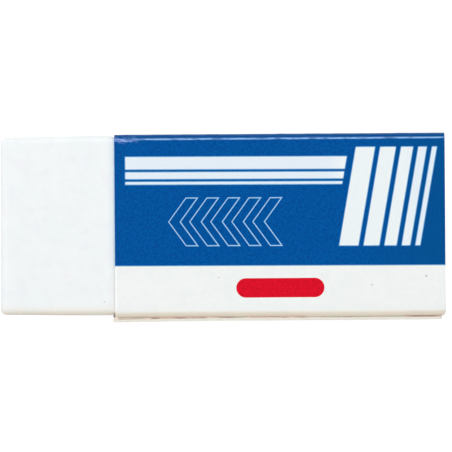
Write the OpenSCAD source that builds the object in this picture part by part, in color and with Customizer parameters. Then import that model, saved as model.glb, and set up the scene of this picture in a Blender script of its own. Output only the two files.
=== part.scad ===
// Block eraser in a folded card sleeve, lying on its broad face.
// X runs along the block, from its bare working end to the sleeve's plain end.
// Y runs across it, from the sleeve's glued seam in front to its plain side at the back.
// Z is up from the surface that the sleeve lies on.

/* [Block] */
// Length of the vinyl block
block_l = 43; // [36:0.5:52]
// Width of the block
block_w = 17.35; // [14:0.05:24]
// Thickness of the block
block_h = 11.5; // [9:0.1:16]
// Radius of every edge and corner of the block
edge_r = 0.6; // [0.45:0.05:0.9]
// Length of block that stands out of the sleeve
exposed_l = 11; // [6:0.5:14]

/* [Sleeve] */
// Length of the sleeve along the block
sleeve_l = 32.2; // [26:0.1:40]
// Thickness of the card
card_t = 0.25; // [0.15:0.01:0.35]
// Play between the block and each wall of the sleeve
fit_gap = 0.03; // [0.02:0.01:0.1]
// Inside radius of the card's four folds
fold_r = 0.3; // [0.2:0.05:0.4]

/* [Seam] */
// Depth of the seam's cut edge below the top face
seam_drop = 0.3; // [0.1:0.05:0.6]
// Height left open below the flap that lies under the seam
flap_stop = 2.6; // [1:0.1:4]
// How far the flap's ends slope back from its fold to its free edge
flap_trim = 1.2; // [0.2:0.1:1.8]
// Thickness of the glue between the flap and the seam's panel
glue_t = 0.08; // [0.03:0.01:0.12]
// Distance of the glue below the seam's cut edge
glue_edge_gap = 0.3; // [0.2:0.05:1.5]
// Distance of the glue from the flap's free edge
glue_margin = 1.4; // [0.5:0.1:2]
// Distance of the glue from each end of the sleeve
glue_inset = 2; // [2:0.1:4]

/* [Print fields] */
// Depth of the ink in the card's face
ink_t = 0.03; // [0.02:0.005:0.05]
// Width of the unprinted band along the front of each broad face
white_band_w = 4.95; // [3.5:0.05:6]

/* [Slanted bars] */
// Number of bars in the row
bar_count = 5; // [3:1:6]
// Width of the first bar
bar_wide = 1.9; // [1.2:0.05:2.2]
// Width of the last bar
bar_narrow = 0.5; // [0.3:0.05:1]
// Blue left between two bars
bar_gap = 0.48; // [0.3:0.01:0.8]
// Lean of the bars from upright, in degrees
bar_lean = 10; // [0:1:18]
// Blue left between the bars and the end of the sleeve
bar_end_margin = 0.75; // [0.4:0.05:2]
// Blue left between the bars and the back edge
bar_back_margin = 1.4; // [0.8:0.05:2.5]
// Blue left between the white band and the bars and arrowheads
front_margin = 1.9; // [0.8:0.05:2.5]

/* [Graded lines] */
// Width of each line, from the back forward
line_widths = [1.25, 0.7, 0.3]; // [0.2:0.05:1.5]
// Blue left between two lines
line_gap = 0.24; // [0.15:0.01:0.5]
// Blue left between the mouth and the lines
line_mouth_margin = 1.05; // [0.5:0.05:3]
// Blue left between the lines and the bars
line_bar_margin = 0.7; // [0.3:0.05:2]
// Blue left between the lines and the back edge
line_back_margin = 2.3; // [1.5:0.05:3]

/* [Arrowheads] */
// Spacing of the outlined arrowheads, which point to the working end
arrow_pitch = 2.05; // [1.7:0.05:2.5]
// Width of an arrowhead along the sleeve
arrow_w = 1.25; // [0.8:0.05:1.5]
// Lean of an arrowhead's arms from upright, in degrees
arrow_lean = 36; // [20:1:45]
// Width of the line that outlines an arrowhead
arrow_line = 0.16; // [0.1:0.01:0.22]
// Blue left between the mouth and the first arrowhead
arrow_mouth_margin = 5.2; // [3:0.1:7]
// Least blue left between the last arrowhead and the bars
arrow_bar_margin = 4; // [1:0.1:6]
// Blue left between the graded lines and the arrowheads
arrow_line_margin = 1.25; // [0.6:0.05:1.5]

/* [Red mark] */
// Length of the round-ended mark
mark_l = 8.6; // [5:0.1:12]
// Width of the mark across the white band
mark_w = 1.9; // [1:0.05:2.2]
// Distance from the mouth to the mark
mark_mouth_margin = 11.8; // [6:0.1:13]
// White left between the blue and the mark
mark_blue_margin = 1.15; // [0.4:0.05:1.8]

/* [Hidden] */
$fn = 64;

// Overshoot of a cutter past the faces that it cuts through
over = 0.02;

// The sleeve's section: the cavity fits the block, and the seam adds a lap at the front
cavity_w = block_w + 2 * fit_gap;
cavity_h = block_h + 2 * fit_gap;
lap_t = card_t + glue_t;
sleeve_w = cavity_w + 2 * card_t + lap_t;
sleeve_h = cavity_h + 2 * card_t;
bend_r = fold_r + card_t;

// Where the block and the sleeve lie, with the origin under the middle of the whole
overall_l = max(exposed_l + sleeve_l, block_l);
block_x = -overall_l / 2;
mouth_x = block_x + exposed_l;
front_y = -sleeve_w / 2;
back_y = sleeve_w / 2;
flap_y = front_y + lap_t;
cavity_y = flap_y + card_t;

// Flat lengths of the card between its folds, from the seam's cut edge round to the flap's free edge
seam_panel = sleeve_h - seam_drop - bend_r;
bottom_panel = cavity_w + lap_t - 2 * fold_r;
back_panel = cavity_h - 2 * fold_r;
top_panel = cavity_w - 2 * fold_r;
flap_panel = sleeve_h - flap_stop - bend_r;
PANELS = [seam_panel, bottom_panel, back_panel, top_panel, flap_panel];

// Places of the print on the top face
blue_y = flap_y + white_band_w;
print_y = blue_y + front_margin;
bar_widths = [for (i = [0 : bar_count - 1]) bar_wide + (bar_narrow - bar_wide) * i / (bar_count - 1)];
bars_h = back_y - bar_back_margin - print_y;
bars_slant = bars_h * tan(bar_lean);
bars_x = mouth_x + sleeve_l - bar_end_margin - bars_slant - row_length(bar_widths, bar_gap);
lines_x = mouth_x + line_mouth_margin;
lines_y = back_y - line_back_margin;
arrows_x = mouth_x + arrow_mouth_margin;
arrow_h = lines_y - row_length(line_widths, line_gap) - arrow_line_margin - print_y;
arrow_l = arrow_w + arrow_h / 2 * tan(arrow_lean);
arrow_room = bars_x - arrow_bar_margin - arrows_x;
arrow_count = floor((arrow_room - arrow_l) / arrow_pitch) + 1;

// Start of item i in a row of items of given widths, and the whole row's length
function row_start(widths, gap, i) = i == 0 ? 0 : row_start(widths, gap, i - 1) + widths[i - 1] + gap;
function row_length(widths, gap) = row_start(widths, gap, len(widths)) - gap;

// A box whose edges and corners are rounded to one radius
module rounded_box(size, r) {
    inner = size - 2 * r * [1, 1, 1];
    for (axis = [0 : 2])
        translate([for (i = [0 : 2]) i == axis ? 0 : r])
            cube([for (i = [0 : 2]) i == axis ? size[i] : inner[i]]);
    for (x = [r, size.x - r], y = [r, size.y - r]) {
        translate([x, y, r]) cylinder(h = inner.z, r = r);
        for (z = [r, size.z - r]) translate([x, y, z]) sphere(r = r);
    }
    for (x = [r, size.x - r], z = [r, size.z - r])
        translate([x, r, z]) rotate([-90, 0, 0]) cylinder(h = inner.y, r = r);
    for (y = [r, size.y - r], z = [r, size.z - r])
        translate([r, y, z]) rotate([0, 90, 0]) cylinder(h = inner.x, r = r);
}

// A quarter bend of card that leaves the origin along +X and turns left, between two depths in the card
module bend(low, high) {
    translate([0, bend_r]) intersection() {
        difference() {
            circle(r = bend_r - low);
            circle(r = bend_r - high);
        }
        translate([0, -bend_r]) square(bend_r);
    }
}

// Section of a strip of card along +X that turns left after each panel but the last, between two depths in
// the card, which are measured from the face that ends up outside
module folded_strip(panels, low, high, i = 0) {
    translate([0, low]) square([panels[i], high - low]);
    if (i < len(panels) - 1)
        translate([panels[i], 0]) {
            bend(low, high);
            translate([bend_r, bend_r]) rotate(90) folded_strip(panels, low, high, i + 1);
        }
}

// The sleeve, or a skin of it: the strip starts at the seam's cut edge, high on the front, and runs down it
module folded_sleeve(low, high) {
    translate([mouth_x, 0, 0]) rotate([90, 0, 90]) linear_extrude(sleeve_l)
        translate([front_y, sleeve_h - seam_drop]) rotate(-90) folded_strip(PANELS, low, high);
}

// Wedges that slope the flap's two ends back below its fold
module flap_trims() {
    fold_z = sleeve_h - bend_r;
    for (end = [0, 1])
        translate([mouth_x + end * sleeve_l, cavity_y + over, 0])
            mirror([end, 0, 0]) rotate([90, 0, 0]) linear_extrude(card_t + 2 * over)
                polygon([
                    [0, fold_z], [flap_trim, flap_stop], [flap_trim, flap_stop - over],
                    [-over, flap_stop - over], [-over, fold_z]
                ]);
}

// A row of leaning bars, each narrower than the last
module slanted_bars() {
    for (i = [0 : bar_count - 1])
        translate([bars_x + row_start(bar_widths, bar_gap, i), print_y])
            polygon([[0, 0], [bar_widths[i], 0], [bar_widths[i] + bars_slant, bars_h], [bars_slant, bars_h]]);
}

// Lines along the sleeve, each narrower than the last, whose far ends follow the lean of the first bar
module graded_lines() {
    for (i = [0 : len(line_widths) - 1]) {
        near = lines_y - row_start(line_widths, line_gap, i);
        far = near - line_widths[i];
        end_x = bars_x - line_bar_margin;
        polygon([
            [lines_x, near], [lines_x, far],
            [end_x + (far - print_y) * tan(bar_lean), far], [end_x + (near - print_y) * tan(bar_lean), near]
        ]);
    }
}

// An arrowhead that points along -X from the origin, drawn in from its outline by an inset
module arrowhead(inset) {
    tip = inset / cos(arrow_lean);
    half = arrow_h / 2 - inset;
    reach = half * tan(arrow_lean);
    polygon([
        [tip, 0], [tip + reach, half], [arrow_w - tip + reach, half],
        [arrow_w - tip, 0], [arrow_w - tip + reach, -half], [tip + reach, -half]
    ]);
}

// A row of outlined arrowheads
module arrowheads() {
    for (i = [0 : arrow_count - 1])
        translate([arrows_x + i * arrow_pitch, print_y + arrow_h / 2])
            difference() {
                arrowhead(0);
                arrowhead(arrow_line);
            }
}

// The red mark's outline: a bar with round ends
module round_mark() {
    translate([mouth_x + mark_mouth_margin + mark_w / 2, blue_y - mark_blue_margin - mark_w / 2]) {
        translate([0, -mark_w / 2]) square([mark_l - mark_w, mark_w]);
        for (x = [0, mark_l - mark_w]) translate([x, 0]) circle(d = mark_w);
    }
}

// The block: one moulded bar of white vinyl
module eraser_block() {
    color("#f0f4f5")
        translate([block_x, cavity_y + fit_gap, card_t + fit_gap])
            rounded_box([block_l, block_w, block_h], edge_r);
}

// The sleeve: one strip of card folded round the block, its ends lapped at the front
module card_sleeve() {
    color("#eef1f0") difference() {
        folded_sleeve(0, card_t);
        flap_trims();
        blue_print();
        red_print();
    }
}

// The blue ink, which lies flush in the card from one white band round the back to the other, and leaves
// the top face's shapes bare
module blue_print() {
    color("#035299") difference() {
        intersection() {
            folded_sleeve(0, ink_t);
            translate([mouth_x - over, blue_y, -over])
                cube([sleeve_l + 2 * over, back_y - blue_y + over, sleeve_h + 2 * over]);
        }
        translate([0, 0, sleeve_h - ink_t - over]) linear_extrude(ink_t + 2 * over) {
            slanted_bars();
            graded_lines();
            arrowheads();
        }
    }
}

// The red ink: one mark on the white band of the top face
module red_print() {
    color("#e60a28")
        translate([0, 0, sleeve_h - ink_t]) linear_extrude(ink_t) round_mark();
}

// The glue that holds the seam's panel to the flap under it, and reaches nearly to the cut edge
module seam_glue() {
    low = flap_stop + glue_margin;
    high = sleeve_h - seam_drop - glue_edge_gap;
    color("#d9c7ae")
        translate([mouth_x + glue_inset, flap_y - glue_t, low])
            cube([sleeve_l - 2 * glue_inset, glue_t, high - low]);
}

eraser_block();
card_sleeve();
blue_print();
red_print();
seam_glue();
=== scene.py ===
"""The looks of a block eraser in a folded card sleeve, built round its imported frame.

X runs along the block from its bare end to the sleeve's plain end, Y runs from the glued seam in
front to the plain side at the back, and Z is up. Shapes are in metres, and the materials' own
sums are in millimetres.
"""

import math

import bmesh
import bpy
from mathutils import Matrix, Vector, noise


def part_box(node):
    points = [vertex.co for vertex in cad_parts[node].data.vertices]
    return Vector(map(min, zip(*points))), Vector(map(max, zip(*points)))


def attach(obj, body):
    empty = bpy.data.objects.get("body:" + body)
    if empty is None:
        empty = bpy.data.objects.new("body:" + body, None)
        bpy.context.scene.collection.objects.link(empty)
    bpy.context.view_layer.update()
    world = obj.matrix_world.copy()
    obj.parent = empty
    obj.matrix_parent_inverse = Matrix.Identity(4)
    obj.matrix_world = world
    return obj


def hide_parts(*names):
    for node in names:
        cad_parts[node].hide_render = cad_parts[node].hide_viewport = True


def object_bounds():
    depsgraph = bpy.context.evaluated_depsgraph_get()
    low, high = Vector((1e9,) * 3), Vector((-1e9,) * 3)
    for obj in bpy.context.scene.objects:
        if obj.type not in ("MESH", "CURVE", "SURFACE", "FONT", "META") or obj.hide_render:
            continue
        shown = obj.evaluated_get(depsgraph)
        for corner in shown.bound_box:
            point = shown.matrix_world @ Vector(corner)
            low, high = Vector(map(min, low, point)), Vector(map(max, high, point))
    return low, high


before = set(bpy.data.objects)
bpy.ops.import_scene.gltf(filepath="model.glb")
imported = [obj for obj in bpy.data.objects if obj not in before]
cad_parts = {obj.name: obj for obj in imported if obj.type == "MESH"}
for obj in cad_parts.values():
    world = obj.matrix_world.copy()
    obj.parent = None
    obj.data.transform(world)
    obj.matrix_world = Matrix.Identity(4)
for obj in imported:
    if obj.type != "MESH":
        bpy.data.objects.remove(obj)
cad_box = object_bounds()

MM = 0.001

# A length too small to see
HAIR = 0.01 * MM

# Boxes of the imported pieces
BLOCK_LOW, BLOCK_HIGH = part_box("eraser_block")
SLEEVE_LOW, SLEEVE_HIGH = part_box("card_sleeve")
MARK_LOW, MARK_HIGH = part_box("red_print")
GLUE_LOW, GLUE_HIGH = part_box("seam_glue")
BLUE_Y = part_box("blue_print")[0].y
MOUTH_X = SLEEVE_LOW.x
PLAIN_X = SLEEVE_HIGH.x
SLEEVE_L = PLAIN_X - MOUTH_X
FRONT_Y = SLEEVE_LOW.y
BACK_Y = SLEEVE_HIGH.y
TOP_Z = SLEEVE_HIGH.z

# The card and its seam
CARD_T = 0.25 * MM
GLUE_T = GLUE_HIGH.y - GLUE_LOW.y
LAP_T = CARD_T + GLUE_T
BEND_R = CARD_T + 0.3 * MM
SEAM_DROP = 0.3 * MM
FLAP_STOP = 2.6 * MM
FLAP_TRIM = 1.2 * MM
FLAP_Y = FRONT_Y + LAP_T
CUT_EDGE_R = 0.07 * MM

# What gluing and handling did to the card
SEAM_OPEN_H = 3 * MM
GAPE = 0.01 * MM
GAPE_WAVE = 0.02 * MM
GAPE_AT_MOUTH = 0.07 * MM
LAP_SKEW = 0.27 * MM
LAP_SKEW_GROWTH = 0.07 * MM
CORNER_L = 0.24 * MM
CORNER_IN = 0.08 * MM
CORNER_DOWN = 0.15 * MM
FOLD_FLATTENED = 0.14 * MM
FOLD_BOWED = 0.05 * MM
FOLD_CRUSHED = 0.04 * MM
FOLD_PULLED_BACK = 0.17 * MM
BOW_STARTS = (16.5 * MM, 19.5 * MM)
BOW_ENDS = (3 * MM, 5 * MM)
TOP_DIP = 0.01 * MM

# Shares of its thickness that the card keeps at the mouth, inside it, and further in
KEPT_AT_MOUTH = 0.7
KEPT_INSIDE = 0.3
KEPT_FURTHER_IN = 0.88
THIN_STARTS = (0.5 * MM, 1.5 * MM)
THIN_ENDS = (12 * MM, 15 * MM)

# The block, and how its bare end departs from a plain bar
BLOCK_EDGE_R = 0.6 * MM
TAPER_L = 9 * MM
END_NARROWING = 0.9
SIDE_SWELL = 0.05 * MM
SIDE_SHIFT = 0.06 * MM
BACK_SWELL = 0.04 * MM
TOP_SWELL = 0.02 * MM
MOUTH_SWELL = 0.06 * MM
END_LONGER = 0.19 * MM
END_SKEW = 0.05 * MM
END_WAVE = 0.03 * MM
TOP_WAVE = 0.012 * MM

# The glue, which lies low in the seam and was squeezed out at the mouth, and a dark blob that is
# painted shade in the slot at the mouth
GLUE_OUT_AT_MOUTH = 0.15 * MM
GLUE_SHORT_OF_PLAIN_END = 0.36 * MM
GLUE_SUNK = 0.14 * MM
GLUE_SUNK_WAVE = 0.11 * MM
GLUE_SUNK_RIPPLE = 0.04 * MM
GLUE_SUNK_AT_ENDS = 0.06 * MM
GLUE_SUNK_WHERE_THIN = 0.08 * MM
SHADE_BLOB_RADII = Vector((0.12, 0.11, 0.25)) * MM
SHADE_BLOB_PLACE = Vector((MOUTH_X - 0.13 * MM, FLAP_Y + 0.15 * MM, TOP_Z - 0.75 * MM))

# How finely the pieces are divided
END_COLUMNS = [place * MM for place in (0, 0.12, 0.2, 0.3, 0.42)]
CARD_PITCH = 0.25 * MM
PANEL_PITCH = 0.6 * MM
FOLD_STEPS = 10
BLOCK_PITCH = 0.7 * MM
GLUE_PITCH = 0.25 * MM
EDGE_STEPS = 6

# The print, in millimetres: how it fades at its edges and how it sits on the card
INK_EDGE = 0.18
INK_RAGGED = 0.012
PRINT_SHIFT = 0.075
PRINT_SLOPE = 0.003
PRINT_TURN_X = 16

# White bars, lines and arrowheads left in the blue, in millimetres
FRONT_MARGIN = 1.9
BAR_COUNT = 5
BAR_WIDE = 1.9
BAR_NARROW = 0.5
BAR_GAP = 0.48
BAR_LEAN = math.radians(10)
BAR_END_MARGIN = 0.75
BAR_BACK_MARGIN = 1.4
LINE_WIDTHS = (1.25, 0.7, 0.3)
LINE_GAP = 0.24
LINE_MOUTH_MARGIN = 1.05
LINE_BAR_MARGIN = 0.7
LINE_BACK_MARGIN = 2.3
ARROW_COUNT = 5
ARROW_PITCH = 2.05
ARROW_W = 1.25
ARROW_LEAN = math.radians(36)
ARROW_LINE = 0.1
ARROW_STRENGTH = 0.8
ARROW_MOUTH_MARGIN = 5.2
ARROW_LINE_MARGIN = 1.25

# Wear of the print along the back fold, whose crack line is also a painted highlight, in
# millimetres
CRACK_AND_HIGHLIGHT_IN = 0.5
CRACK_AND_HIGHLIGHT_HALF_W = 0.065
SCUFF_L = 1.9

# Reddish dirt in the seam, in millimetres from the mouth: where it ends, a gap, where it returns
RUST_END = 18.6
RUST_GAP = (10.9, 12.6)
RUST_AGAIN = 28.2

# Specks on the card, in millimetres: from the mouth, in from the back, radius, and darkness
CARD_SPECKS = ((30.32, 13.97, 0.09, 1.2), (25.0, 14.8, 0.12, 0.5), (10.1, 14.0, 0.1, 0.4))

# The speck on the block, in millimetres: from the bare end, in from the front, and radius
BLOCK_SPECK = (9.95, 1.31, 0.09)

# Colours of the vinyl
VINYL_SHADE = (0.835, 0.87, 0.875)
VINYL_LIGHT = (0.865, 0.89, 0.895)
VINYL_LILAC = (0.83, 0.83, 0.875)
# The next five are painted shade and reflection: warm shade on the front edge, a blue reflection of
# the print with a real stain, grey and blue shade at the mouth, and grey shade on the back edge
VINYL_FRONT_EDGE_SHADE = (0.84, 0.785, 0.69)
VINYL_STAIN_AND_REFLECTION = (0.62, 0.81, 0.94)
VINYL_MOUTH_SHADE = (0.76, 0.77, 0.77)
VINYL_MOUTH_BLUE_SHADE = (0.60, 0.76, 0.95)
VINYL_EDGE_SHADE = (0.80, 0.825, 0.82)
VINYL_SPECK = (0.55, 0.56, 0.58)

# Colours of the card
BACK_DARK = (0.60, 0.58, 0.54)
BACK_LIGHT = (0.72, 0.70, 0.66)
CUT_DARK = (0.72, 0.68, 0.61)
CUT_LIGHT = (0.83, 0.81, 0.75)
# Painted highlight on the cut edge at the mouth
CUT_MOUTH_HIGHLIGHT = (0.96, 0.96, 0.93)
CUT_INKED = (0.16, 0.36, 0.70)
CARD_SHADE = (0.85, 0.875, 0.865)
CARD_LIGHT = (0.88, 0.90, 0.885)
CARD_IN_BLUE = (0.76, 0.835, 0.91)
CARD_IN_BARS = (0.835, 0.885, 0.905)
# The next three paint a highlight at the mouth, warm shade on the front fold, and shade along the
# seam panel's top edge
CARD_MOUTH_HIGHLIGHT = (0.97, 0.975, 0.965)
CARD_FOLD_SHADE = (0.87, 0.79, 0.665)
CARD_SEAM_EDGE_SHADE = (0.60, 0.62, 0.59)
CARD_RUSTY = (0.90, 0.67, 0.56)
CARD_SPECK = (0.35, 0.36, 0.38)

# Colours of the inks
BLUE_DARK = (0.0003, 0.067, 0.280)
BLUE_LIGHT = (0.0006, 0.097, 0.366)
BLUE_DULL = (0.0003, 0.076, 0.26)
# Painted shade on the back fold's outer side
BLUE_BACK_FOLD_SHADE = (0.006, 0.072, 0.235)
BLUE_THIN = (0.09, 0.37, 0.70)
# The crack line's two colours also paint the fold's highlight
BLUE_CRACKED_AND_HIGHLIGHT = (0.26, 0.50, 0.86)
BLUE_SCUFFED_AND_HIGHLIGHT = (0.27, 0.40, 0.80)
RED_DARK = (0.63, 0.005, 0.020)
RED_LIGHT = (0.77, 0.006, 0.025)

# Colours of the glue
GLUE_CLEAN = (0.76, 0.61, 0.50)
GLUE_DUSTY = (0.42, 0.28, 0.22)
GLUE_GREY = (0.56, 0.52, 0.43)
GLUE_BROWN = (0.55, 0.48, 0.38)
GLUE_GRIMY = (0.38, 0.22, 0.17)
GLUE_PALE = (0.85, 0.74, 0.66)
# Painted shade for the dark blob in the slot at the mouth
GLUE_SLOT_SHADE = (0.34, 0.29, 0.26)

# The photograph's frame, seen from straight above
PHOTO_PX = 452
PX_PER_MM = 10.27
OBJECT_CENTRE_PX = (223.5, 227.1)
ROLL = math.radians(0.4)
LENS_MM = 180
SENSOR_MM = 36

# The ground and the lights
GROUND_HALF = 1.5
GROUND_DROP = 0.03 * MM
GROUND_GREY = (0.22, 0.22, 0.22)
GROUND_GLOW = (0.95, 0.95, 0.95)
ROOM_GLOW = 0.02
COOL = (0.98, 0.995, 1)
WARM = (1, 0.7, 0.42)


class Value:
    """A socket in a material, with arithmetic that adds Math nodes."""

    def __init__(self, paint, node, output=0):
        self.paint = paint
        self.node = node
        self.socket = node.outputs[output]

    def output(self, name):
        """Another output of the same node."""
        return Value(self.paint, self.node, name)

    def _maths(self, operation, *values):
        return self.paint.node("Math", dict(enumerate(values)), operation=operation)

    def __add__(self, other):
        return self._maths("ADD", self, other)

    def __radd__(self, other):
        return self._maths("ADD", other, self)

    def __sub__(self, other):
        return self._maths("SUBTRACT", self, other)

    def __rsub__(self, other):
        return self._maths("SUBTRACT", other, self)

    def __mul__(self, other):
        return self._maths("MULTIPLY", self, other)

    def __rmul__(self, other):
        return self._maths("MULTIPLY", other, self)

    def __mod__(self, other):
        return self._maths("FLOORED_MODULO", self, other)

    def __abs__(self):
        return self._maths("ABSOLUTE", self)

    def root(self):
        return self._maths("SQRT", self)

    def lower(self, other):
        return self._maths("MINIMUM", self, other)

    def higher(self, other):
        return self._maths("MAXIMUM", self, other)

    def above(self, edge, soft):
        """0 below an edge and 1 above it, over a ramp of a given width."""
        ramp = {"Value": self, "From Min": edge - soft / 2, "From Max": edge + soft / 2}
        return self.paint.node("MapRange", ramp, interpolation_type="SMOOTHSTEP")

    def below(self, edge, soft):
        return 1 - self.above(edge, soft)

    def between(self, low, high, soft):
        return self.above(low, soft) * self.below(high, soft)


class Paint:
    """A material whose nodes are added one by one. x, y and z are places in millimetres."""

    def __init__(self, name):
        self.material = bpy.data.materials.new(name)
        self.material.use_nodes = True
        self.tree = self.material.node_tree
        self.tree.nodes.clear()
        self.place = self.node("TexCoord", output="Object")
        places = self.node("VectorMath", {0: self.place, "Scale": 1 / MM}, operation="SCALE")
        self.x = self.node("SeparateXYZ", {"Vector": places})
        self.y = self.x.output("Y")
        self.z = self.x.output("Z")

    def node(self, kind, inputs=None, output=0, **settings):
        """Any node, with its settings and then the values or links of its sockets."""
        node = self.tree.nodes.new("ShaderNode" + kind)
        for name, value in settings.items():
            setattr(node, name, value)
        for name, value in (inputs or {}).items():
            socket = node.inputs[name]
            if isinstance(value, Value):
                self.tree.links.new(value.socket, socket)
            elif socket.type == "RGBA":
                socket.default_value = (*value, 1)
            else:
                socket.default_value = value
        return Value(self, node, output) if node.outputs else None

    def mix(self, base, over, amount):
        """One colour over another."""
        return self.node("Mix", {0: amount, 6: base, 7: over}, output=2, data_type="RGBA")

    def grain(self, size, detail=2.0, stretch=(1, 1, 1), start=(0, 0, 0)):
        """Noise about 0.5 whose lumps have about a given size in millimetres."""
        lengths = tuple(1 / length for length in stretch)
        turned = self.node("Mapping", {"Vector": self.place, "Location": start, "Scale": lengths})
        inputs = {"Vector": turned, "Scale": 1 / (size * MM), "Detail": detail}
        return self.node("TexNoise", inputs)

    def speck(self, x, y, radius):
        """1 on a round speck at a place seen from above, in millimetres."""
        across = ((self.x - x) * (self.x - x) + (self.y - y) * (self.y - y)).root()
        return across.below(radius, radius)

    def surface(self, height=None, depth=0.0, **sockets):
        """Finishes the material: a Principled shader, with a bump if a height is given."""
        inputs = {name.replace("_", " "): value for name, value in sockets.items()}
        if height is not None:
            bump = {"Height": height, "Distance": depth * MM, "Strength": 1.0}
            inputs["Normal"] = self.node("Bump", bump)
        shader = self.node("BsdfPrincipled", inputs)
        self.node("OutputMaterial", {"Surface": shader})
        return self.material


def smooth_step(value, low, high):
    """0 at low, 1 at high, and a smooth way between."""
    share = min(max((value - low) / (high - low), 0), 1)
    return share * share * (3 - 2 * share)


def wander(x, y, length, seed=0.0):
    """Noise from -1 to 1 along two directions, with lumps of a given length."""
    return noise.noise(Vector((x / length, y / length, seed)))


def piece(name, bm, materials):
    """A smooth-shaded object from a bmesh, with its place in its mesh."""
    mesh = bpy.data.meshes.new(name)
    bm.to_mesh(mesh)
    bm.free()
    mesh.shade_smooth()
    for material in materials:
        mesh.materials.append(material)
    made = bpy.data.objects.new(name, mesh)
    bpy.context.scene.collection.objects.link(made)
    return made


# The block


def bar(low, high):
    """A plain bar that fills a box."""
    bm = bmesh.new()
    bmesh.ops.create_cube(bm, size=1)
    bmesh.ops.scale(bm, verts=bm.verts, vec=high - low)
    bmesh.ops.translate(bm, verts=bm.verts, vec=(high + low) / 2)
    return bm


def cut_finely(bm, low, high, pitch):
    """Cuts a mesh across all three directions, so that its faces can bend."""
    for axis in range(3):
        count = round((high[axis] - low[axis]) / pitch)
        normal = Vector([number == axis for number in range(3)])
        for cut in range(1, count):
            whole = bm.verts[:] + bm.edges[:] + bm.faces[:]
            place = low.lerp(high, cut / count)
            bmesh.ops.bisect_plane(bm, geom=whole, plane_co=place, plane_no=normal)


def block_mesh():
    """The vinyl bar: rounded edges, full at the mouth, and narrower and askew at its bare end."""
    bm = bar(BLOCK_LOW, BLOCK_HIGH)
    bmesh.ops.bevel(
        bm, geom=bm.edges[:], offset=BLOCK_EDGE_R, offset_type="OFFSET", segments=EDGE_STEPS,
        profile=0.5, affect="EDGES", material=-1,
    )
    cut_finely(bm, BLOCK_LOW, BLOCK_HIGH, BLOCK_PITCH)
    middle = (BLOCK_LOW + BLOCK_HIGH) / 2
    half = (BLOCK_HIGH - BLOCK_LOW) / 2
    for vertex in bm.verts:
        co = vertex.co
        across = (co.y - middle.y) / half.y
        through = (co.z - middle.z) / half.z
        along = co.x - BLOCK_LOW.x
        bare = smooth_step(co.x, MOUTH_X + 0.1 * MM, MOUTH_X - 0.6 * MM)
        near_end = smooth_step(along, TAPER_L, 0)
        near_mouth = smooth_step(along, 6 * MM, 10 * MM) * bare
        full = (1 - near_end) * bare - END_NARROWING * near_end
        co.y += SIDE_SWELL * full * across + (SIDE_SHIFT + BACK_SWELL * across) * bare
        co.z += (TOP_SWELL * full + MOUTH_SWELL * near_mouth) * through
        co.x -= (END_LONGER - END_SKEW * across) * near_end
        co.x += END_WAVE * wander(co.y, co.z, 4 * MM) * smooth_step(along, 2.5 * MM, 0)
        co.z += TOP_WAVE * wander(co.x, co.y, 5 * MM, seed=3.1) * bare
    return bm


# The sleeve


def columns():
    """Places along the sleeve, closer together near its two ends."""
    inner = SLEEVE_L - 2 * END_COLUMNS[-1]
    count = round(inner / CARD_PITCH)
    middle = [END_COLUMNS[-1] + inner * i / count for i in range(1, count)]
    far = [SLEEVE_L - place for place in reversed(END_COLUMNS)]
    return [MOUTH_X + place for place in END_COLUMNS + middle + far]


def fold_card():
    """The card's printed face, drawn from its cut edge down, round and behind itself."""
    sleeve_w = BACK_Y - FRONT_Y
    panels = [
        TOP_Z - SEAM_DROP - BEND_R,
        sleeve_w - 2 * BEND_R,
        TOP_Z - 2 * BEND_R,
        sleeve_w - LAP_T - 2 * BEND_R,
        TOP_Z - FLAP_STOP - BEND_R,
    ]
    bm = bmesh.new()
    verts = [bm.verts.new((x, FRONT_Y, TOP_Z - SEAM_DROP)) for x in columns()]
    line = [bm.edges.new(pair) for pair in zip(verts, verts[1:])]
    heading = Vector((0, 0, -1))
    for number, length in enumerate(panels):
        steps = round(length / PANEL_PITCH)
        for _ in range(steps):
            made = bmesh.ops.extrude_edge_only(bm, edges=line)["geom"]
            verts = [part for part in made if isinstance(part, bmesh.types.BMVert)]
            fresh = set(verts)
            line = [
                part for part in made
                if isinstance(part, bmesh.types.BMEdge) and set(part.verts) <= fresh
            ]
            bmesh.ops.translate(bm, verts=verts, vec=heading * (length / steps))
        if number < len(panels) - 1:
            inward = Matrix.Rotation(math.radians(90), 3, "X") @ heading
            made = bmesh.ops.spin(
                bm, geom=verts + line, cent=verts[0].co + inward * BEND_R, axis=(1, 0, 0),
                angle=math.radians(90), steps=FOLD_STEPS, use_merge=False,
            )["geom_last"]
            verts = [part for part in made if isinstance(part, bmesh.types.BMVert)]
            line = [part for part in made if isinstance(part, bmesh.types.BMEdge)]
            heading = inward
    top_face = max(bm.faces, key=lambda face: face.calc_center_median().z)
    top_face.normal_update()
    if top_face.normal.z < 0:
        bmesh.ops.reverse_faces(bm, faces=bm.faces[:])
    return bm


def seam_gape(x):
    """How far the lap stands off along its cut edge: most at the mouth."""
    near_mouth = smooth_step(x - MOUTH_X, 10 * MM, 0)
    return GAPE + GAPE_WAVE * wander(x, 0, 5 * MM, seed=7.3) + GAPE_AT_MOUTH * near_mouth


def open_share(z):
    """0 where the lap is glued down, and 1 at its cut edge."""
    return smooth_step(z, TOP_Z - SEAM_OPEN_H, TOP_Z - SEAM_DROP)


def trim_flap(co):
    """Slopes the flap's ends back from its fold to its free edge."""
    middle_x = (MOUTH_X + PLAIN_X) / 2
    fold_z = TOP_Z - BEND_R
    trim = FLAP_TRIM * (fold_z - co.z) / (fold_z - FLAP_STOP)
    co.x = middle_x + (co.x - middle_x) * (1 - 2 * trim / SLEEVE_L)


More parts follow.
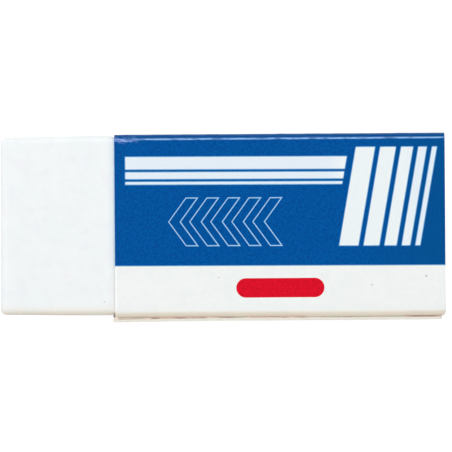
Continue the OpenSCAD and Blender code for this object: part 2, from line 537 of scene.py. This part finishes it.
def settle_lap(co, from_mouth, from_plain):
    """The seam panel is glued on askew, gapes along its cut edge and has two bent corners."""
    skew = LAP_SKEW + LAP_SKEW_GROWTH * from_mouth / SLEEVE_L
    rise = co.z / TOP_Z
    opened = open_share(co.z)
    bent = smooth_step(from_mouth, CORNER_L, 0) + smooth_step(from_plain, CORNER_L, 0)
    co.y += (CORNER_IN * bent - seam_gape(co.x)) * opened
    co.x -= skew * rise
    co.z += (0.02 * MM * wander(co.x, 0, 1.7 * MM, seed=2.2) - CORNER_DOWN * bent) * opened


def crush_front_fold(co, from_mouth, from_plain):
    """The front fold is flattened, and crushed and pulled back where it ends."""
    at_mouth = smooth_step(from_mouth, 0.6 * MM, 0)
    at_plain = smooth_step(from_plain, 0.9 * MM, 0)
    if co.z > FLAP_STOP - HAIR:
        co.x -= FOLD_PULLED_BACK * at_plain * smooth_step(co.y, FLAP_Y + 0.09 * MM, FLAP_Y)
    near_fold = smooth_step(co.z, TOP_Z - 1.2 * MM, TOP_Z - 0.3 * MM)
    near_fold *= smooth_step(co.y, FLAP_Y + 1.2 * MM, FLAP_Y + 0.2 * MM)
    flat = smooth_step(co.z, TOP_Z - 0.45 * MM, TOP_Z - 0.15 * MM)
    bow = smooth_step(from_mouth, *BOW_STARTS) * smooth_step(from_plain, *BOW_ENDS)
    crushed = FOLD_CRUSHED * (at_mouth + at_plain)
    co.y += (HAIR + FOLD_FLATTENED * flat + crushed - FOLD_BOWED * bow) * near_fold
    co.z -= crushed * near_fold


def settle_card(bm):
    """Gives the folded card what handling and gluing gave it, panel by panel."""
    for vertex in bm.verts:
        co = vertex.co
        from_mouth = co.x - MOUTH_X
        from_plain = PLAIN_X - co.x
        on_seam_panel = co.y < FRONT_Y + HAIR or (co.y < FRONT_Y + BEND_R and co.z < BEND_R)
        on_flap = abs(co.y - FLAP_Y) < HAIR and FLAP_STOP - HAIR < co.z < TOP_Z - BEND_R + HAIR
        if on_flap:
            trim_flap(co)
        if on_seam_panel:
            settle_lap(co, from_mouth, from_plain)
        else:
            crush_front_fold(co, from_mouth, from_plain)
        if co.z > TOP_Z - BEND_R and co.y > BACK_Y - BEND_R:
            lift = 0.02 * wander(co.x, 0, 1.3 * MM, seed=5.5)
            lift += 0.012 * wander(co.x, co.y, 0.6 * MM, seed=9.1)
            co.y += lift * MM
            co.z += lift * MM
        elif co.z > TOP_Z - BEND_R:
            co.z += TOP_DIP * wander(co.x, co.y, 6 * MM, seed=1.7)
    return bm


def glue_and_shade_blob_mesh():
    """Dried glue that fills the lap, squeezed up unevenly and out at the mouth, and a dark blob
    deep in the slot at the mouth as painted shade.
    """
    low = Vector((MOUTH_X - GLUE_OUT_AT_MOUTH, FRONT_Y + CARD_T, GLUE_LOW.z))
    high = Vector((PLAIN_X - GLUE_SHORT_OF_PLAIN_END, FLAP_Y, TOP_Z - SEAM_DROP - 0.02 * MM))
    middle_x = (low.x + high.x) / 2
    bm = bar(low, high)
    cut_finely(bm, low, high, GLUE_PITCH)
    for vertex in bm.verts:
        co = vertex.co
        outer = co.y < (low.y + high.y) / 2
        rise = (co.z - low.z) / (high.z - low.z)
        opened = open_share(co.z)
        if outer:
            co.y -= (seam_gape(co.x) + HAIR) * opened
        else:
            co.y += 0.05 * MM * opened
        ends = smooth_step(high.x - co.x, 0.3 * MM, 0) - smooth_step(co.x - low.x, 0.6 * MM, 0)
        thin = smooth_step(co.x, PLAIN_X - 4.5 * MM, PLAIN_X - 3 * MM)
        sunk = GLUE_SUNK + GLUE_SUNK_AT_ENDS * ends + GLUE_SUNK_WHERE_THIN * thin
        sunk += GLUE_SUNK_WAVE * wander(co.x, 0, 1.1 * MM, seed=4.4)
        sunk += GLUE_SUNK_RIPPLE * wander(co.x, 0, 0.5 * MM, seed=8.8)
        co.z -= sunk * smooth_step(rise, 0.8, 1)
        co.x += (middle_x - co.x) * (1 - rise) * FLAP_TRIM / (middle_x - low.x)
    # A dark blob deep in the slot at the mouth, which stands in for shade there
    blob = bmesh.ops.create_icosphere(bm, subdivisions=3, radius=1)["verts"]
    bmesh.ops.scale(bm, verts=blob, vec=SHADE_BLOB_RADII)
    bmesh.ops.translate(bm, verts=blob, vec=SHADE_BLOB_PLACE)
    return bm


def room_inside(sleeve):
    """The share of its thickness that the card keeps: less where the block's bulge passes."""
    group = sleeve.vertex_groups.new(name="kept_thickness")
    for vertex in sleeve.data.vertices:
        from_mouth = vertex.co.x - MOUTH_X
        inside = smooth_step(from_mouth, *THIN_STARTS)
        further_in = smooth_step(from_mouth, *THIN_ENDS)
        kept = KEPT_AT_MOUTH + (KEPT_INSIDE - KEPT_AT_MOUTH) * inside
        kept += (KEPT_FURTHER_IN - KEPT_INSIDE) * further_in
        if vertex.co.y < FRONT_Y + 0.2 * MM:
            kept += (1 - kept) * smooth_step(vertex.co.z, BEND_R, 2 * MM)
        group.add([vertex.index], kept, "REPLACE")
    return group.name


def thicken_card(sleeve):
    """The card's thickness and softened edges: slot 1 is its back and slot 2 its cut edge."""
    wall = sleeve.modifiers.new("card", "SOLIDIFY")
    wall.thickness = CARD_T
    wall.vertex_group = room_inside(sleeve)
    wall.offset = -1
    wall.use_even_offset = True
    wall.material_offset = 1
    wall.material_offset_rim = 2
    edge = sleeve.modifiers.new("cut_edge", "BEVEL")
    edge.width = CUT_EDGE_R
    edge.segments = 4
    edge.limit_method = "ANGLE"
    edge.angle_limit = math.radians(60)
    even = sleeve.modifiers.new("even_normals", "WEIGHTED_NORMAL")
    even.keep_sharp = True


# Materials


def vinyl_paint():
    """Soft white vinyl: cloudy, slightly waxy, with a fine grain and one speck, and painted shade
    on its edges and at the mouth.
    """
    paint = Paint("white_vinyl")
    edge_y = BLOCK_LOW.y / MM
    edge_z = BLOCK_HIGH.z / MM
    into_mouth = paint.x - MOUTH_X / MM
    clouds = paint.grain(3.5, detail=3)
    mottle = 0.6 * clouds + 0.4 * paint.grain(0.5, detail=2)
    tint = paint.grain(1.6, detail=2, start=(0.3, 0.1, 0.7))
    colour = paint.mix(VINYL_SHADE, VINYL_LIGHT, mottle.above(0.5, 0.3))
    colour = paint.mix(colour, VINYL_LILAC, 0.5 * tint.above(0.6, 0.25))

    # Painted warm shade along the rounded front edge, which turns away from the light
    front_edge_shade = (paint.y - edge_y).below(0.65, 1.0) * (edge_z - paint.z).below(1.0, 1.2)
    colour = paint.mix(colour, VINYL_FRONT_EDGE_SHADE, front_edge_shade * (0.4 + 0.5 * clouds))

    # Blue beside the blue field, partly a real ink stain and partly a painted reflection of the
    # print; painted grey and blue shade where the block meets the mouth
    beside_blue = paint.y.above(BLUE_Y / MM, 0.6)
    stain_and_reflection = into_mouth.between(-0.35, 1, 0.7) * beside_blue * paint.z.above(edge_z - 0.3, 0.4)
    at_edge = into_mouth.between(-0.12, 0.3, 0.1)
    mouth_shade = into_mouth.between(-0.5, 0.3, 0.7) * (1 - at_edge)
    colour = paint.mix(colour, VINYL_STAIN_AND_REFLECTION, 0.55 * stain_and_reflection)
    colour = paint.mix(colour, VINYL_MOUTH_SHADE, 0.4 * mouth_shade)
    colour = paint.mix(colour, VINYL_MOUTH_BLUE_SHADE, 0.45 * at_edge * beside_blue)

    # Painted shade along the back edge and the bare end
    bare_end = (paint.x - (BLOCK_LOW.x - END_LONGER) / MM).below(0.2, 0.2)
    marked = (BLOCK_HIGH.y / MM + 0.1 - paint.y).below(0.25, 0.3) + 0.4 * bare_end
    colour = paint.mix(colour, VINYL_EDGE_SHADE, 0.6 * marked.lower(1))
    from_end, from_front, radius = BLOCK_SPECK
    speck = paint.speck(BLOCK_LOW.x / MM + from_end, edge_y + from_front, radius)
    colour = paint.mix(colour, VINYL_SPECK, 0.5 * speck)
    return paint.surface(
        Base_Color=colour,
        Roughness=0.5 + 0.12 * paint.grain(0.7),
        Subsurface_Weight=0.25,
        Subsurface_Radius=(0.9 * MM, 0.8 * MM, 0.7 * MM),
        Subsurface_Scale=1.0,
        height=paint.grain(0.12, detail=4),
        depth=0.006,
    )


def felted_fibres(paint, size):
    """The fibres of bare board, drawn out along the sleeve."""
    return paint.grain(size, detail=5, stretch=(2.5, 1, 1))


def card_back_paint():
    """The card's unprinted back: felted fibres in two shades."""
    paint = Paint("board_back")
    fibres = felted_fibres(paint, 0.12)
    colour = paint.mix(BACK_DARK, BACK_LIGHT, fibres.above(0.5, 0.4))
    return paint.surface(Base_Color=colour, Roughness=0.85, height=fibres, depth=0.02)


def cut_edge_paint():
    """The card's cut edge: felted board, painted brighter at the mouth as a highlight, and inked
    along its printed corner.
    """
    paint = Paint("board_cut_edge")
    fibres = felted_fibres(paint, 0.06)
    colour = paint.mix(CUT_DARK, CUT_LIGHT, fibres.above(0.5, 0.4))
    # Painted highlight on the cut edge at the mouth
    fresh = paint.x.below(MOUTH_X / MM + 0.15, 0.1) * paint.y.above(FLAP_Y / MM + 0.6, 0.4)
    colour = paint.mix(colour, CUT_MOUTH_HIGHLIGHT, fresh * paint.z.above(TOP_Z / MM - 0.3, 0.1))
    outer = (paint.z - TOP_Z / MM).higher(paint.y - BACK_Y / MM).above(-0.1, 0.08)
    inked = outer * paint.y.above(BLUE_Y / MM, 0.1)
    colour = paint.mix(colour, CUT_INKED, inked)
    return paint.surface(Base_Color=colour, Roughness=0.85, height=fibres, depth=0.01)


def leaning_bars(along, up, start, height, widths):
    """A row of leaning bars, each narrower than the last."""
    across = along - math.tan(BAR_LEAN) * (up - FRONT_MARGIN)
    bars = 0.0
    for width in widths:
        bars = across.between(start, start + width, INK_EDGE) + bars
        start += width + BAR_GAP
    return bars * up.between(FRONT_MARGIN, FRONT_MARGIN + height, INK_EDGE)


def outlined_arrows(along, up, height):
    """A row of arrowheads in outline, which point to the mouth."""
    narrowed = math.cos(ARROW_LEAN)
    from_middle = abs(up - (FRONT_MARGIN + height / 2))
    point = along - ARROW_MOUTH_MARGIN - math.tan(ARROW_LEAN) * from_middle
    within = (point % ARROW_PITCH) * narrowed
    edge = within.lower(ARROW_W * narrowed - within).lower(height / 2 - from_middle)
    row_end = (ARROW_COUNT - 1) * ARROW_PITCH + ARROW_W
    row = point.between(-0.1, row_end + 0.1, 0.02)
    return ARROW_STRENGTH * edge.between(0, ARROW_LINE, 0.1) * row


def white_shapes(along, up):
    """Bare card in the blue, by millimetres from the mouth and up from the blue's front edge."""
    blue_h = (BACK_Y - BLUE_Y) / MM
    bars_h = blue_h - BAR_BACK_MARGIN - FRONT_MARGIN
    narrower = (BAR_WIDE - BAR_NARROW) / (BAR_COUNT - 1)
    widths = [BAR_WIDE - narrower * number for number in range(BAR_COUNT)]
    row = sum(widths) + BAR_GAP * (BAR_COUNT - 1)
    bars_x = SLEEVE_L / MM - BAR_END_MARGIN - bars_h * math.tan(BAR_LEAN) - row
    white = leaning_bars(along, up, bars_x, bars_h, widths)

    line_ends = bars_x - LINE_BAR_MARGIN + math.tan(BAR_LEAN) * (up - FRONT_MARGIN)
    reach = along.above(LINE_MOUTH_MARGIN, INK_EDGE) * (line_ends - along).above(0, INK_EDGE)
    line_top = blue_h - LINE_BACK_MARGIN
    for width in LINE_WIDTHS:
        line_low = line_top - width
        white = white + up.between(line_low, line_top, INK_EDGE) * reach
        line_top = line_low - LINE_GAP
    return white + outlined_arrows(along, up, line_low - ARROW_LINE_MARGIN - FRONT_MARGIN)


def red_mark(paint, ragged):
    """1 within the round-ended mark."""
    middle = (MARK_LOW + MARK_HIGH) / 2 / MM
    size = (MARK_HIGH - MARK_LOW) / MM
    radius = size.y / 2
    past = (abs(paint.x - middle.x) - (size.x / 2 - radius)).higher(0)
    off = paint.y - middle.y
    return ((past * past + off * off).root() + ragged).below(radius, 0.03)


def rusty(along):
    """1 on the two stretches of the seam where its dirt is reddish."""
    gap = along.between(*RUST_GAP, 0.8)
    return along.below(RUST_END, 1) * (1 - gap) + along.above(RUST_AGAIN, 0.6)


def card_colour(paint, along, in_blue):
    """White coated card: cooler in the blue field, with painted warm shade on the front fold, a
    painted shade line along the seam panel's top edge, and reddish dirt in the seam.
    """
    from_front = paint.y - FRONT_Y / MM
    from_top = TOP_Z / MM - paint.z
    clouds = paint.grain(2.4, detail=3)
    mottle = 0.5 * clouds + 0.5 * paint.grain(0.45, detail=2)
    colour = paint.mix(CARD_SHADE, CARD_LIGHT, mottle.above(0.5, 0.25))
    colour = paint.mix(colour, CARD_IN_BLUE, in_blue)
    among_bars = along.between(21.5, 29, 2)
    colour = paint.mix(colour, CARD_IN_BARS, in_blue * among_bars)
    # Painted highlight along the mouth edge
    colour = paint.mix(colour, CARD_MOUTH_HIGHLIGHT, 0.8 * along.below(0.2, 0.15))
    # Painted warm shade on the front fold, which turns away from the light
    front_fold_shade = from_front.below(0.9, 0.4) * from_top.below(1.0, 0.6)
    colour = paint.mix(colour, CARD_FOLD_SHADE, front_fold_shade * (0.4 + 0.5 * clouds))
    # Painted shade on the seam panel's top edge
    seam_edge_shade = from_front.below(0.04, 0.06) * from_top.below(0.6, 0.2)
    colour = paint.mix(colour, CARD_SEAM_EDGE_SHADE, 0.6 * seam_edge_shade)
    rim = from_front.between(0.15, LAP_T / MM + 0.12, 0.08) * from_top.below(0.7, 0.3)
    return paint.mix(colour, CARD_RUSTY, 0.7 * rim * rusty(along))


def blue_ink_colour(paint, along, ink_clouds):
    """Deep blue ink: duller towards the plain end, and painted darker on the back fold's outer side
    as shade.
    """
    colour = paint.mix(BLUE_DARK, BLUE_LIGHT, ink_clouds)
    colour = paint.mix(colour, BLUE_DULL, 0.7 * along.above(27, 9))
    # Painted shade on the back fold's outer side
    back_fold_shade = (paint.y - BACK_Y / MM).above(-0.35, 0.2) * paint.z.above(TOP_Z / MM - 0.6, 0.4)
    return paint.mix(colour, BLUE_BACK_FOLD_SHADE, 0.7 * back_fold_shade)


def printed_paint():
    """The coated face of the card with its print, which sits a hair askew."""
    paint = Paint("printed_card")
    along = paint.x - MOUTH_X / MM
    ragged = INK_RAGGED * paint.grain(0.18, detail=3)
    slope = PRINT_SLOPE * (along - PRINT_TURN_X)
    up = paint.y - (BLUE_Y / MM + PRINT_SHIFT) + slope + ragged
    on_top = paint.z.above(TOP_Z / MM - 2, 0.1)
    blue = up.above(0, INK_EDGE) * (1 - white_shapes(along, up).lower(1) * on_top)
    red = red_mark(paint, ragged) * on_top

    # The ink has cracks along the back fold, and is scuffed wider near the mouth; the crack line is
    # also a painted highlight of the fold's glint
    near_mouth = along.below(SCUFF_L, 1.6)
    off_fold_line = abs(paint.y - (BACK_Y / MM - CRACK_AND_HIGHLIGHT_IN) + 0.08 * near_mouth)
    streaks = paint.grain(0.28, detail=3, stretch=(4, 1, 1))
    cracks_and_highlight = (off_fold_line - 0.07 * near_mouth).below(CRACK_AND_HIGHLIGHT_HALF_W, 0.11)
    scuffs = paint.grain(0.22, detail=4, stretch=(2, 1, 1), start=(0.1, 0.4, 0))
    scuffed = near_mouth * off_fold_line.below(0.3, 0.3) * scuffs.above(0.56, 0.12)
    marked = cracks_and_highlight * (0.3 + 0.7 * streaks.above(0.47, 0.2)) + 0.5 * scuffed
    marked = marked * on_top * blue

    # A thin layer of ink is paler than a full one
    ink_clouds = paint.grain(0.22, detail=4).above(0.5, 0.4)
    card = card_colour(paint, along, up.above(0.2, 0.3) * on_top)
    colour = paint.mix(card, BLUE_THIN, (2 * blue).lower(1))
    colour = paint.mix(colour, blue_ink_colour(paint, along, ink_clouds), (2 * blue - 1).higher(0))
    red_ink = paint.mix(RED_DARK, RED_LIGHT, ink_clouds)
    colour = paint.mix(colour, red_ink, red)
    # Light blue, lilac near the mouth: real crack and scuff wear, with a painted highlight along
    # the fold
    bared_and_highlight = paint.mix(BLUE_CRACKED_AND_HIGHLIGHT, BLUE_SCUFFED_AND_HIGHLIGHT, near_mouth)
    colour = paint.mix(colour, bared_and_highlight, marked.lower(1))
    specks = sum(
        darkness * paint.speck(MOUTH_X / MM + from_mouth, BACK_Y / MM - from_back, radius)
        for from_mouth, from_back, radius, darkness in CARD_SPECKS
    )
    colour = paint.mix(colour, CARD_SPECK, 0.7 * specks)
    return paint.surface(
        Base_Color=colour,
        Roughness=0.17 + 0.06 * paint.grain(0.8) + 0.25 * marked,
        Specular_IOR_Level=0.2,
        height=0.3 * paint.grain(0.4, detail=3) + 0.7 * streaks * off_fold_line.below(0.3, 0.4),
        depth=0.008,
    )


def glue_and_slot_shade_paint():
    """Dried adhesive, browned where dust has stuck to it, and dark on the blob as painted shade."""
    paint = Paint("dried_glue_and_slot_shade")
    along = paint.x - MOUTH_X / MM
    from_plain = PLAIN_X / MM - paint.x
    dust = paint.grain(0.5, detail=3, stretch=(3, 1, 1)).above(0.5, 0.3)
    grey = (0.9 - 0.7 * rusty(along)) * paint.grain(1.5, detail=1).above(0.5, 0.1)
    colour = paint.mix(GLUE_CLEAN, GLUE_DUSTY, dust)
    colour = paint.mix(colour, GLUE_GREY, grey)
    colour = paint.mix(colour, GLUE_BROWN, 0.7 * along.below(2.8, 0.6))
    colour = paint.mix(colour, GLUE_GRIMY, 0.8 * from_plain.between(0.8, 3.6, 0.8))
    colour = paint.mix(colour, GLUE_PALE, 0.9 * along.below(0.25, 0.25))
    # Painted shade: the blob in the slot at the mouth is dark
    slot_shade = paint.y.above(FLAP_Y / MM + 0.07, 0.03)
    colour = paint.mix(colour, GLUE_SLOT_SHADE, slot_shade)
    return paint.surface(Base_Color=colour, Roughness=0.5, height=paint.grain(0.3), depth=0.01)


def ground_paint():
    """A white ground that glows a little, as an over-exposed one does."""
    paint = Paint("white_ground")
    return paint.surface(
        Base_Color=GROUND_GREY,
        Roughness=0.9,
        Emission_Color=GROUND_GLOW,
        Emission_Strength=0.95,
    )


# Stage


def soft_light(name, place, size, power, colour):
    """A rectangular soft box that faces the object."""
    light = bpy.data.lights.new(name, "AREA")
    light.shape = "RECTANGLE"
    light.size, light.size_y = size
    light.energy = power
    light.color = colour
    lamp = bpy.data.objects.new(name, light)
    lamp.location = place
    lamp.rotation_mode = "QUATERNION"
    lamp.rotation_quaternion = (-Vector(place)).to_track_quat("-Z", "Y")
    bpy.context.scene.collection.objects.link(lamp)


def place_camera():
    """The camera straight above the object, with the photograph's scale, shift and roll."""
    camera = bpy.data.cameras.new("camera")
    camera.lens = LENS_MM
    camera.sensor_width = SENSOR_MM
    eye = bpy.data.objects.new("camera", camera)
    frame_w = PHOTO_PX / PX_PER_MM * MM
    distance = frame_w * LENS_MM / SENSOR_MM
    off_x = (PHOTO_PX / 2 - OBJECT_CENTRE_PX[0]) / PX_PER_MM * MM
    off_y = (OBJECT_CENTRE_PX[1] - PHOTO_PX / 2) / PX_PER_MM * MM
    shift = Matrix.Rotation(-ROLL, 3, "Z") @ Vector((off_x, off_y, 0))
    middle = (cad_box[0] + cad_box[1]) / 2
    eye.location = Vector((middle.x, middle.y, TOP_Z + distance)) + shift
    eye.rotation_euler = (0, 0, -ROLL)
    bpy.context.scene.collection.objects.link(eye)
    bpy.context.scene.camera = eye


def set_stage():
    """The ground, the soft boxes and a dim room."""
    bm = bmesh.new()
    bmesh.ops.create_grid(bm, x_segments=1, y_segments=1, size=GROUND_HALF)
    bmesh.ops.translate(bm, verts=bm.verts, vec=(0, 0, -GROUND_DROP))
    piece("ground", bm, [ground_paint()])
    soft_light("back_box", (0, 0.38, 0.62), size=(0.7, 0.26), power=2.15, colour=COOL)
    soft_light("left_box", (-0.44, 0.09, 0.57), size=(0.3, 0.5), power=3.05, colour=COOL)
    soft_light("right_box", (0.44, 0.09, 0.57), size=(0.3, 0.5), power=1.9, colour=COOL)
    soft_light("front_glow", (0, -0.6, 0.14), size=(0.5, 0.14), power=0.66, colour=WARM)
    room = bpy.data.worlds.new("dim_room")
    room.use_nodes = True
    room.node_tree.nodes["Background"].inputs["Color"].default_value = (1, 1, 1, 1)
    room.node_tree.nodes["Background"].inputs["Strength"].default_value = ROOM_GLOW
    bpy.context.scene.world = room
    bpy.context.scene.view_settings.view_transform = "Standard"


def main():
    block = piece("vinyl_block", block_mesh(), [vinyl_paint()])
    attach(block, "block")
    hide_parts("eraser_block")

    card_paints = [printed_paint(), card_back_paint(), cut_edge_paint()]
    sleeve = piece("printed_sleeve", settle_card(fold_card()), card_paints)
    thicken_card(sleeve)
    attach(sleeve, "sleeve")
    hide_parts("card_sleeve", "blue_print", "red_print")

    glue = piece("seam_bead_and_shade_blob", glue_and_shade_blob_mesh(), [glue_and_slot_shade_paint()])
    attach(glue, "sleeve")
    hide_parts("seam_glue")

    set_stage()
    place_camera()


main()
